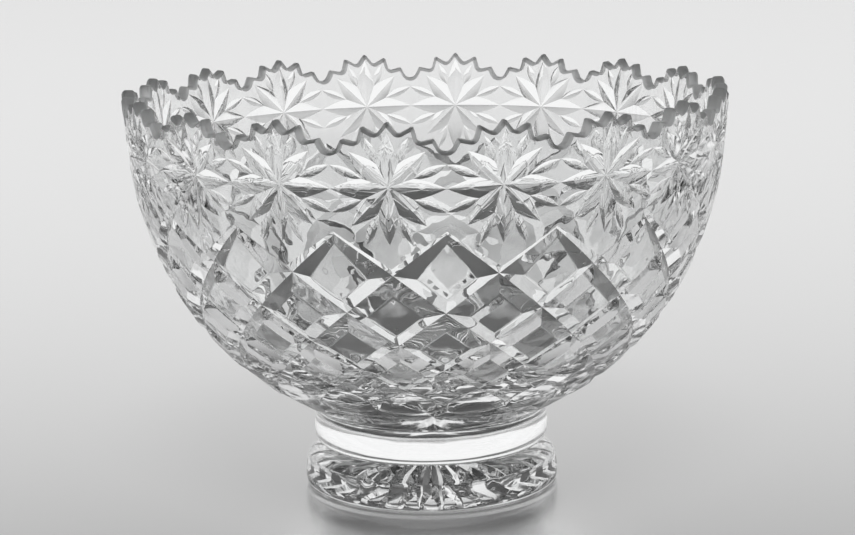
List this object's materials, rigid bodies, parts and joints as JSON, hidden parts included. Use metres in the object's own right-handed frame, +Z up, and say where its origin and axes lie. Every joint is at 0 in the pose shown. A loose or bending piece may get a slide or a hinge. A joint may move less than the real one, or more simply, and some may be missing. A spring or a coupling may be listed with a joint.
{
  "type": "footed salad bowl",
  "caption": "Round footed salad bowl in clear cut crystal, with a scalloped rim, a band of star cuts, a diamond lattice, a collar ring and a star-cut foot.",
  "frame": {"origin": "centre of the foot's flat underside, on the bowl's axis", "axes": "+Z up the bowl's axis from foot to rim, -Y through the middle of one star"},
  "size_m": [0.244, 0.2452, 0.165],
  "materials": {
    "crystal": "polished clear crystal",
    "bond_film": "clear cured bond film"
  },
  "bodies": {
    "root": {"bowl": "crystal", "upper_bond": "bond_film", "collar": "crystal", "lower_bond": "bond_film", "foot": "crystal"}
  },
  "joints": []
}
